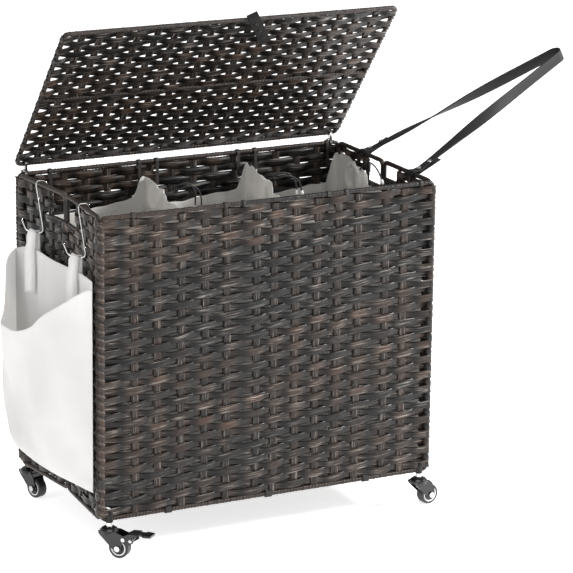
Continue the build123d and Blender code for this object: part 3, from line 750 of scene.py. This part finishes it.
# %% Weave a panel
def weave(origin, along, up, out, xs, top, bottom, width=14.6, thick=2.2, amp=3.0, lean=0.9,
          post_r=4.9, stake_width=14.0, band_shift=0, row_range=None, stake_brown=None,
          skip=None):
    """All the strands and stakes of one panel.

    A strand stands off the panel by `amp` over a stake and climbs by `lean`. `row_range` gives
    the stakes that a row crosses at a height, and `skip` is true where there is no row.
    """
    origin, along, up, out = (np.asarray(a, float) for a in (origin, along, up, out))
    parts = []
    section = cane_section(width, thick, 3)
    rows = int(round((top - bottom) / ROW))
    pitch = (top - bottom) / rows
    for row in range(rows):
        v = top - (row + 0.5) * pitch
        spans = row_range(v) if row_range else xs
        if skip and skip(v):
            continue
        su, sv, sn, kink = strand(spans, row, v, post_r, lean, top, bottom, amp)
        points = origin + np.outer(su, along) + np.outer(sv, up) + np.outer(sn, out)
        du, dn = np.gradient(su), np.gradient(sn)
        outward = unit(np.outer(-dn, along) + np.outer(du, out))
        shade = dice.uniform(*FLOAT_TONES, len(spans) + 1)
        raised = DIVE_TONE + np.clip(np.abs(sn) / amp, 0, 1) ** 2
        batch = np.array([bands(row + band_shift, x) for x in su])
        batch = np.clip(batch + dice.normal(0, BATCH_SPREAD, len(spans) + 1)[kink], 0, 1)
        squeeze = 1 - 0.04 * np.abs(np.sin(np.linspace(0, 9, len(su)) + row))
        shaped = section[None] * np.stack([squeeze, np.ones_like(squeeze)], -1)[:, None]
        parts.append(sweep(points, outward, shaped, brown=batch, tone=shade[kink] * raised))
    stake = cane_section(stake_width, STAKE_THICK, 2)
    for i, x in enumerate(xs[1:-1]):
        levels = np.arange(bottom - 2, top + 2, pitch / 2)
        swing = 0.5 * np.sin(levels / pitch * math.pi + i * math.pi)
        keep = np.array([row_range is None or x <= row_range(z)[-1] + 1 for z in levels])
        levels, swing = levels[keep], swing[keep]
        if len(levels) < 3:
            continue
        drift = x + 0.8 * np.sin(levels / 90 + i)
        points = (origin + np.outer(drift, along) + np.outer(levels, up)
                  + np.outer(swing, out))
        brown = stake_brown(i) if stake_brown else dice.uniform(0.2, 0.7)
        parts.append(sweep(points, out, stake, brown=brown, tone=STAKE_TONE))
    return parts


print("rows in a wall:", round((RIM_Z - RAIL_Z - 2 * ROD_R) / ROW))

# %% [markdown]
# ## Weaving the walls
#
# The front wall has thirteen stakes whose gaps vary by a few millimetres, as in any hand-woven
# basket. The side walls are woven in two halves and leave a handle opening beside the fold.

# %% Weave the four walls
SIDE_STAKES = [0, 38, 75]
FRONT_STAKES = [64, 108, 154, 200, 243, 302, 337, 380, 422, 464, 505, 562, 600]
WALL_TOP = RIM_Z - ROD_R
WALL_BOTTOM = RAIL_Z + ROD_R
X, Y, Z = np.eye(3)


def front_stake_brown(i):
    """The stakes at the two ends come from a browner batch."""
    return (0.75, 0.7, 0.3, 0.25, 0.25, 0.1, 0.35, 0.65, 0.5, 0.5, 0.35, 0.3, 0.75)[i]


parts = weave((-SIDE_X, FRONT_Y, 0), X, Z, -Y, [0, *FRONT_STAKES, WIDTH], WALL_TOP,
              WALL_BOTTOM, lean=1.5, stake_brown=front_stake_brown)
build("front_woven_panel", parts, woven_cane, "basket", ["front_weave"])
rear_stakes = list(np.linspace(0, WIDTH, 16))
parts = weave((-SIDE_X, -FRONT_Y, 0), X, Z, Y, rear_stakes, WALL_TOP, WALL_BOTTOM,
              width=15.6, amp=1.7, lean=0.5, band_shift=3)
build("rear_woven_panel", parts, woven_cane, "basket", ["rear_weave"])
for (side, half), drop in WINDOWS.items():
    corner, fold = side_line(side, half)
    length = math.dist(corner, fold)
    along = unit(np.array([fold[0] - corner[0], fold[1] - corner[1], 0.0]))
    out = np.cross(along, Z) * (1 if (side == "left") == (half == "rear") else -1)
    if out[0] * (-1 if side == "left" else 1) < 0:
        out = -out
    jamb = length - WINDOW_FROM_FOLD
    sill = RIM_Z - drop
    full = [*SIDE_STAKES, jamb, length - 24, length]

    def spans(v, full=full, jamb=jamb, sill=sill):
        """The stakes that a row crosses: beside the opening it turns back at the jamb."""
        return full if v < sill - 4 else [*SIDE_STAKES, jamb]

    parts = weave((*corner, 0), along, Z, out, full, WALL_TOP, WALL_BOTTOM, row_range=spans,
                  band_shift={"front": 0, "rear": 6}[half])
    build(f"{side}_{half}_woven_panel", parts, woven_cane, "basket",
          [f"{side}_{half}_weave"])
print("walls woven: 6 pieces")

# %% [markdown]
# ## The lid
#
# The lid is one more wound frame with a bar across its middle. It is woven more loosely, and
# because it is seen at a slant, light comes through beside every stake. It is drawn closed,
# flat over the rim, and then turned about the hinge to where it stands open.

# %% Weave the lid
def opened(points):
    """Turn points of the closed lid about the hinge, to where the lid rests."""
    y, z = (points - HINGE)[:, 1], (points - HINGE)[:, 2]
    c, s = math.cos(-LID_OPEN), math.sin(-LID_OPEN)
    turned = np.array(points, float)
    turned[:, 1] = HINGE[1] + c * y - s * z
    turned[:, 2] = HINGE[2] + s * y + c * z
    return turned


def open_up(parts):
    """Turn several parts of the closed lid open."""
    for part in parts:
        part["points"] = opened(part["points"])
    return parts


lid_corners = [(-SIDE_X, LID_REAR_Y, LID_Z), (SIDE_X, LID_REAR_Y, LID_Z),
               (SIDE_X, LID_FRONT_Y, LID_Z), (-SIDE_X, LID_FRONT_Y, LID_Z)]
lid_path = rounded_loop(lid_corners, CORNER_BEND, PATH_STEP)
lid_mid = (LID_REAR_Y + LID_FRONT_Y) / 2
lid_bar_half = 5.5
rods = [wound(lid_path, Z, ROD_R - 0.2, 0.9, True, brown=0.35)]
bar_path = np.array([(x, lid_mid, LID_Z) for x in np.arange(-SIDE_X, SIDE_X + 0.1, PATH_STEP)])
rods.append(wound(bar_path, Z, 3.6, 0.4, False, brown=0.3))
build("lid_wound_frame", open_up(rods), wound_cane, "lid", ["lid_frame"])

lid_length = LID_REAR_Y - LID_FRONT_Y
lid_xs = list(np.linspace(0, WIDTH, 19))
parts = weave((-SIDE_X, LID_REAR_Y, LID_Z), X, -Y, -Z, lid_xs, lid_length - ROD_R, ROD_R,
              width=14.8, thick=2.4, amp=2.2, lean=0.4, post_r=3.6, band_shift=12,
              skip=lambda v: abs(v - lid_length / 2) < lid_bar_half)
build("lid_woven_panel", open_up(parts), woven_cane, "lid", ["lid_weave"])
print("lid strands:", len(parts))

# %% [markdown]
# ## The liners
#
# Each liner is a cloth bag in the shape of a box without a lid. Its rear right corner is pulled
# up into an ear, where the drawcord comes out. The cloth is a sheet round a rounded rectangle.
#
# `LINERS` gives each liner's left and right end and the height of its hem: along the rear wall,
# counted from its right end, and along the right wall, from the rear forwards. Elsewhere the hem
# is nearly level. Small waves make the folds.

# %% Liners
LINERS = {
    "left": ((-284.0, -74.0), [(-210, 534), (-122, 536), (-78, 543), (-32, 551), (-24, 562),
                               (-17, 584), (-12, 589), (0, 585)],
             [(173, 587), (160, 585), (140, 583), (110, 578), (97, 574), (91, 559)]),
    "middle": ((-70.0, 130.0), [(-200, 533), (-135, 535), (-77, 541), (-20, 547), (-12, 566),
                                (-5, 590), (0, 598)],
               [(173, 598), (163, 591), (140, 590), (119, 590), (68, 579), (64, 558)]),
    "right": ((134.0, 319.5), [(-185, 529), (-130, 531), (-66, 536), (-20, 541), (-11, 570),
                               (-4, 594), (0, 600)],
              [(173, 600), (163, 597), (133, 600), (87, 593), (48, 585), (44, 559)]),
}
LINER_Y = 173.0
LEFT_HEM = 538.0
LINER_CLOTH = 1.0
LINER_BOTTOM = 82.0
HEM = 558.0


def thicken(cloth, thickness):
    """Give a sheet the thickness of its cloth in millimetres."""
    solid = cloth.modifiers.new("cloth thickness", "SOLIDIFY")
    solid.thickness = thickness * MM
    solid.offset = 0


def rounded_plan(x_low, x_high, y_half, radius, corner_radius):
    """Points round a plan rectangle, starting at the middle of its front."""
    centres = [(x_high, -y_half, radius, -90), (x_high, y_half, corner_radius, 0),
               (x_low, y_half, radius, 90), (x_low, -y_half, radius, 180)]
    mid = (x_low + x_high) / 2
    corners = [(mid, -y_half)]
    for x, y, r, start in centres:
        cx = x - r if x == x_high else x + r
        cy = y - r if y > 0 else y + r
        for a in np.radians(np.linspace(start, start + 90, 10)):
            corners.append((cx + r * math.cos(a), cy + r * math.sin(a)))
    corners.append((mid, -y_half))
    return np.array(corners)


def resample(line, at):
    """Points of a polyline at given distances along it."""
    length = distances(line)
    return np.stack([np.interp(at, length, line[:, k]) for k in range(line.shape[1])], -1)


print("liner plans are ready")

# %% [markdown]
# ## The liners' cloth
#
# The heights come first: the hem, and levels below it that lie closer towards the hem. Then
# `push` moves the cloth inwards to make its folds, the pleats and the oval ridge of the ear, and
# the hem's seam.

# %% Hang the liners
def liner(name, span, rear_hem, run_hem, seed):
    """A cloth bag with its rear right corner pulled up into an ear."""
    x_low, x_high = span
    plan = rounded_plan(x_low, x_high, LINER_Y, 10.0, 9.0)
    total = line_length(plan)
    at = np.linspace(0, total, 500)[:-1]
    ring = resample(plan, at)
    ahead, behind = np.roll(ring, -1, 0), np.roll(ring, 1, 0)
    inward = unit(np.stack([-(ahead - behind)[:, 1], (ahead - behind)[:, 0]], -1))
    x, y = ring[:, 0], ring[:, 1]
    rear = y > LINER_Y - 5
    right = (x > x_high - 5) & ~rear
    rear_top = np.interp(x - x_high, *np.array(rear_hem, float).T)
    run_top = np.interp(y, *np.array(run_hem[::-1], float).T)
    top = np.where(rear, rear_top, np.where(right, run_top, HEM - 2.0))
    top = np.where(x < x_low + 12, LEFT_HEM + 0.05 * (LINER_Y - y), top)
    drop_y = run_hem[-1][0]  # in front of this the right wall's hem is level again
    ear = right & (y > drop_y)
    top += (1.2 * np.sin(at / 17 + seed) + 0.8 * np.sin(at / 7.3 + seed)) * (1 - 0.4 * ear)
    top += ear * 1.6 * np.sin(y / 4.1 + seed)
    levels = 1 - (1 - np.linspace(0, 1, 76)) ** 1.35
    z = LINER_BOTTOM + (top[None] - LINER_BOTTOM) * levels[:, None]
    below = top[None] - z
    fold = 3.2 * np.sin(at / 21 + seed) + 2.2 * np.sin(at / 9.1 + 2 * seed)
    fold = fold * np.exp(-((below - 45) / 60) ** 2)
    pleats = (1 + np.sin(y / 1.9)) * np.exp(-((y - drop_y - 10) / 9) ** 2) * right
    pleats = 3.4 * pleats * np.exp(-np.clip(below - 20, 0, 999) / 60)
    oval_y = (y - (drop_y + 52)) / 30
    oval_z = (z - (HEM + 3)) / 27
    rim = np.sqrt(oval_y ** 2 + oval_z ** 2)
    ridge = (6.0 * np.exp(-((rim - 1) / 0.16) ** 2) - 2.0 * (rim < 1)) * right
    corner = np.exp(-((x - x_high) ** 2 + (y - LINER_Y) ** 2) / 500)
    pull = 7 * corner * np.exp(-((below - 26) / 16) ** 2)
    hem = 0.9 * np.exp(-((below - 12) / 1.6) ** 2) - 0.6 * (below < 11)
    push = np.clip(fold + pleats + ridge + hem - pull, -0.4, 11) + 0.5
    points = surface(x + inward[:, 0] * push, y + inward[:, 1] * push, z)
    wall = grid(points, closed=True)
    shrink = np.linspace(1, 0.02, 14)[:, None, None]
    centre = points[0].mean(0)
    floor_points = centre + (points[0][None] - centre) * shrink
    floor_points[:, :, 2] = LINER_BOTTOM + 0.6
    base = grid(floor_points[::-1], closed=True)
    made = build("liner_cloth_" + name, [wall, base], liner_cloth, "basket",
                 ["liner_" + name])
    thicken(made, LINER_CLOTH)


for seed, (name, (span, rear_hem, run_hem)) in enumerate(LINERS.items()):
    liner(name, span, rear_hem, run_hem, 1.7 * seed + 0.6)
print("liners:", len(LINERS))

# %% [markdown]
# ## The side bag
#
# The bag is one cloth pouch. Its back hangs flat against the side of the basket, its front
# bulges out and dips at the mouth, and two loops of the same cloth hold it on the hooks.
# `LIP` gives the height of the mouth's front edge, from the rear end at 1 to the front end at
# -1, and `BACK_EDGE` the height of the back's edge.

# %% Side bag
BAG_BACK_X = -340.0
BAG_TOP = 498.0
BAG_BOTTOM = 118.0
BAG_HALF = 171.5
BAG_CLOTH = 1.2
BULGE_LOW, BULGE_MORE = 56, 24
SEATS = [(-342.3, -109.35, 532.5), (-341.86, 79.65, 532.5)]
SEAT_DIRECTION = unit(np.array([-20.0, 32.0, 0.0]))


def bulge_at(z):
    """How far the bag's front stands off its back, by height."""
    t = np.clip((z - BAG_BOTTOM) / (BAG_TOP - BAG_BOTTOM), 0, 1)
    rounding = np.sqrt(np.clip(1 - (1 - np.clip(t / 0.13, 0, 1)) ** 2, 0.05, 1))
    return (BULGE_LOW + BULGE_MORE * t) * rounding


BACK_EDGE = [(-177, 501), (-148, 504), (-96, 505), (-16, 499), (70, 501), (130, 494), (173, 480)]
LIP = [(-1, 492), (-0.86, 470), (-0.69, 448), (-0.56, 430), (-0.38, 404), (-0.18, 386),
       (0.07, 375), (0.41, 373), (0.6, 379), (0.7, 412), (0.8, 459), (0.9, 474), (1, 481)]


def smooth_curve(at, knots, reach):
    """Heights read from knots and rounded over a reach on both sides."""
    x, z = np.array(knots, float).T
    shifts = np.linspace(-reach, reach, 9)
    return np.mean([np.interp(at + d, x, z) for d in shifts], axis=0)


s = np.sin(np.linspace(-1, 1, 170) * math.pi / 2)
lip = smooth_curve(s, LIP, 0.07)
levels = np.linspace(0, 1, 80)
z = BAG_BOTTOM + (lip[None] - BAG_BOTTOM) * levels[:, None]
bulge = bulge_at(z) * (1 - np.abs(s) ** 2.9)
sag = 4.5 * np.sin(s * 5 + z / 55) + 2.6 * np.sin(s * 12 - z / 38)
sag = sag * np.clip((1 - np.abs(s)) * 5, 0, 1) * np.clip((z - 130) / 60, 0, 1)
front = surface(BAG_BACK_X - bulge - sag - 1.0, s * BAG_HALF, z)
back_height = smooth_curve(s * BAG_HALF, BACK_EDGE, 12)[None] - BAG_BOTTOM
back = surface(BAG_BACK_X - 0.6 - 0.8 * np.sin(s * 11) * (1 - s ** 2), s * BAG_HALF,
               BAG_BOTTOM + back_height * levels[:, None])
seam = np.stack([front[0] * (1 - t) + back[0] * t for t in np.linspace(0, 1, 8)])
bag = build("side_bag_cloth", [grid(front[:, ::-1]), grid(back), grid(seam)], bag_cloth,
            "side_bag", ["side_bag"])
thicken(bag, BAG_CLOTH)

# %% [markdown]
# ## The bag's loops
#
# Each loop is a strip of the bag's cloth that lies over the seat of its hook. Its long end goes
# down inside the mouth and its short end down the bag's back. The strip is turned as the seat is.

# %% Loops of the side bag
LOOP_DROP = 112
LOOP_HALF = 9.5
LOOP_R = 2.5

loops = []
for seat_x, seat_y, seat_z in SEATS:
    arc = np.radians(np.linspace(180, 0, 13))
    legs = [(-6.5 - 3 * (z < -30), z) for z in np.linspace(-LOOP_DROP, -8, 15)]
    legs += [(LOOP_R * math.cos(a), LOOP_R * math.sin(a)) for a in arc]
    legs += [(1.9, z) for z in np.linspace(-8, -38, 6)]
    path = np.array([(seat_x + a, seat_y, seat_z + z) for a, z in legs])
    square = unit(np.cross(SEAT_DIRECTION, Z))
    square = square * -np.sign(square[0])
    inside = np.array([square] * 15 + [-square * math.cos(a) + Z * math.sin(a) for a in arc]
                      + [-square] * 6)
    drop = np.clip((seat_z - path[:, 2] - 8) / 60, 0, 1)
    flat = np.array([(-1, -1), (1, -1), (1, 1), (-1, 1)]) * (LOOP_HALF, BAG_CLOTH / 2)
    flat = flat[None] * np.stack([1 + 0.18 * drop, np.ones_like(drop)], -1)[:, None]
    loops.append(sweep(path, inside, flat, capped=True))
build("side_bag_loop_pair", loops, bag_cloth, "side_bag", ["side_bag_loops"])
print("bag loops:", len(loops))

# %% [markdown]
# ## The pull strap
#
# One leather strap makes a long loop. At the rim each end lies flat and is folded round it.
# Towards the tip the strap turns on edge, so its width goes from level to upright. The width's
# direction is mixed along the way.

# %% Pull strap
STRAP_WIDTH_HALF = 10
STRAP_MID = -16.5
STRAP_HALF = 92.5
STRAP_LIFT = math.radians(26)
TURN_X = 409.7
TURN_R = 15.0


def strap_line():
    """The loop from one end tab to the other, drawn level with the rim at the origin."""
    start, end = np.array([8.0, -STRAP_HALF]), np.array([TURN_X - TURN_R, -TURN_R])
    points = [start + (end - start) * t for t in np.linspace(0, 1, 70)[:-1]]
    for a in np.radians(np.linspace(-78, 78, 25)):
        points.append(np.array([TURN_X - TURN_R + TURN_R * math.cos(a), TURN_R * math.sin(a)]))
    points += [p * (1, -1) for p in points[:69]][::-1]
    return np.array([(*p, 0.0) for p in points])


def lifted(points):
    """Turn the level strap up about the rim and put it in its place."""
    c, s = math.cos(STRAP_LIFT), math.sin(STRAP_LIFT)
    x, y, z = np.asarray(points, float).T
    return np.stack([SIDE_X + c * x - s * z, STRAP_MID + y, RIM_Z + s * x + c * z], -1)


path = strap_line()
reach = path[:, 0] / TURN_X
edgewise = np.clip((reach - 0.14) / 0.62, 0, 1)
edgewise = edgewise ** 2 * (3 - 2 * edgewise)
tangent = unit(np.gradient(path, axis=0))
level_width = np.cross(Z, tangent)
width_way = unit(level_width * np.cos(edgewise * math.pi / 2)[:, None]
                 + Z * np.sin(edgewise * math.pi / 2)[:, None])
outward = np.cross(tangent, width_way)
half_width = STRAP_WIDTH_HALF - 1.6 * np.exp(-((reach - 0.10) / 0.06) ** 2)
band = [(-1, -1.2), (-0.94, -1.3), (0.94, -1.3), (1, -1.2), (1, 1.2), (0.94, 1.3),
        (-0.94, 1.3), (-1, 1.2)]
section = np.array(band)[None] * np.stack([half_width, np.ones_like(half_width)], -1)[:, None]
strap_parts = [sweep(lifted(path), lifted(outward) - lifted(outward * 0), section, capped=True)]
tab_band = np.array(band) * (STRAP_WIDTH_HALF, 0.7)
for sign in (-1, 1):
    around = [(58.0, -2.0), (40, -2.3), (20, -2.4), (10, -2.8)]
    around += [(6.2 * math.cos(a), 6.2 * math.sin(a))
               for a in np.radians(np.linspace(-55, -325, 22))]
    around += [(10, 2.2), (16, 1.4)]
    wrap = np.array([(a, sign * STRAP_HALF, b) for a, b in around])
    strap_parts.append(sweep(lifted(wrap), (0, 1, 0), tab_band[:, ::-1], capped=True))
build("leather_pull_strap", strap_parts, dark_leather, "pull_strap",
      ["pull_strap"])
print("strap length", round(line_length(path)), "mm")

# %% [markdown]
# ## Caster details
#
# The casters come from the CAD model. Two small things are added to them: the black webs in
# the wheel faces, inside the pale ring, and the domed heads of the brake rivets.

# %% Wheel webs and rivet domes
CASTERS = {"fl": (-CASTER_X, FRONT_Y, -49.0), "fr": (CASTER_X, FRONT_Y, 8.0),
           "rl": (-CASTER_X, -FRONT_Y, -72.0), "rr": (CASTER_X, -FRONT_Y, -35.0)}


def at_caster(name, points):
    """Put points drawn beside a caster's swivel axis into the room."""
    x, y, heading = CASTERS[name]
    c, s = math.cos(math.radians(heading)), math.sin(math.radians(heading))
    points = np.asarray(points, float)
    return np.stack([x + c * points[:, 0] - s * points[:, 1],
                     y + s * points[:, 0] + c * points[:, 1], points[:, 2]], -1)


def lathe(name, centre, profile, sides=36):
    """A turned shape about a caster's axle direction, from (radius, along) pairs."""
    part = grid(np.array([[(centre[0] + r * math.cos(a), y, centre[1] + r * math.sin(a))
                           for a in np.arange(sides) * 2 * math.pi / sides]
                          for r, y in profile]), closed=True)
    part["points"] = at_caster(name, part["points"])
    return part


for name in CASTERS:
    webs = [lathe(name, (21, 19), [(4.9, 7.3 * k), (4.9, 7.5 * k), (11.9, 7.5 * k),
                                   (11.9, 7.0 * k)]) for k in (-1, 1)]
    build(f"caster_{name}_web", webs, black_nylon, f"caster_{name}_roller")
dome = [(3.5, 15.2), (3.3, 16.2), (2.4, 17.0), (1.2, 17.4), (0.02, 17.5)]
for name in ("fl", "rr"):
    heads = [lathe(name, (47, 38), [(r, k * y) for r, y in dome], 20) for k in (-1, 1)]
    build(f"caster_{name}_rivet_domes", heads, bright_steel, f"caster_{name}_brake")
print("webs and domes on", len(CASTERS), "casters")

# %% [markdown]
# ## Materials for the CAD pieces that are shown as they are
#
# The first of these words in a piece's name decides its material. The rest is black nylon.

# %% Paint the CAD pieces
SUBSTANCES = {
    "tyre": black_tyre, "wheel": white_nylon, "axle": bright_steel, "pivot": bright_steel,
    "stems": bright_steel, "rivets": bright_steel, "hooks": bright_steel, "pull": dark_leather,
    "hinge": bright_steel, "ties": tie_cane, "tie_loops": tie_cane, "base_loops": tie_strip,
    "base_frame": painted_steel, "base_board": base_board,
}
for name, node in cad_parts.items():
    if node.hide_render:
        continue
    finish = next((found for word, found in SUBSTANCES.items() if word in name), black_nylon)
    node.data.materials.clear()
    node.data.materials.append(finish)
print("CAD pieces painted")

# %% [markdown]
# ## The floor and the light
#
# Studio light for a dark object is soft and white all round. The main lamp stands on the
# right, so the right-hand end of every float catches it as it dives behind the next stake.
#
# The floor gives off some light of its own besides. That keeps it nearly white with only a faint
# shadow, and lights the object's walls a little from below.

# %% Floor and lamps
FLOOR_HALF = 14.0
FLOOR_GLOW = 0.7
SKY_STRENGTH = 0.55

mesh = bpy.data.meshes.new("floor")
corners = [(-FLOOR_HALF, -FLOOR_HALF, 0), (FLOOR_HALF, -FLOOR_HALF, 0),
           (FLOOR_HALF, FLOOR_HALF, 0), (-FLOOR_HALF, FLOOR_HALF, 0)]
mesh.from_pydata(corners, [], [(0, 1, 2, 3)])
floor = bpy.data.objects.new("floor", mesh)
link(floor)
floor_finish, tree = material("white studio floor")
white, _, _ = mottled(tree, "fafafa", 0.7, (0.96, 1.0), spread=(0.2, 0.8))
finish_material(tree, {"Base Color": white, "Roughness": 0.9,
                       "Emission Color": linear("ffffff"), "Emission Strength": FLOOR_GLOW})
floor.data.materials.append(floor_finish)

world = bpy.data.worlds.new("studio")
bpy.context.scene.world = world
world.use_nodes = True
sky = world.node_tree.nodes["Background"]
sky.inputs["Color"].default_value = (1, 1, 1, 1)
sky.inputs["Strength"].default_value = SKY_STRENGTH


def lamp(name, place, target, size, watts):
    """A square soft lamp that points at a place."""
    data = bpy.data.lights.new(name, "AREA")
    data.size = size
    data.energy = watts
    made = bpy.data.objects.new(name, data)
    made.location = place
    made.rotation_mode = "QUATERNION"
    made.rotation_quaternion = (Vector(target) - Vector(place)).to_track_quat("-Z", "Y")
    link(made)


lamp("key", (2.7, -1.2, 1.7), (0, 0, 0.35), 0.7, 200)
lamp("top", (-0.3, -0.6, 3.0), (0, 0, 0.4), 2.2, 40)
lamp("left fill", (-3.0, -0.3, 1.5), (-0.35, 0, 0.35), 1.4, 19)
bpy.context.scene.view_settings.view_transform = "Standard"
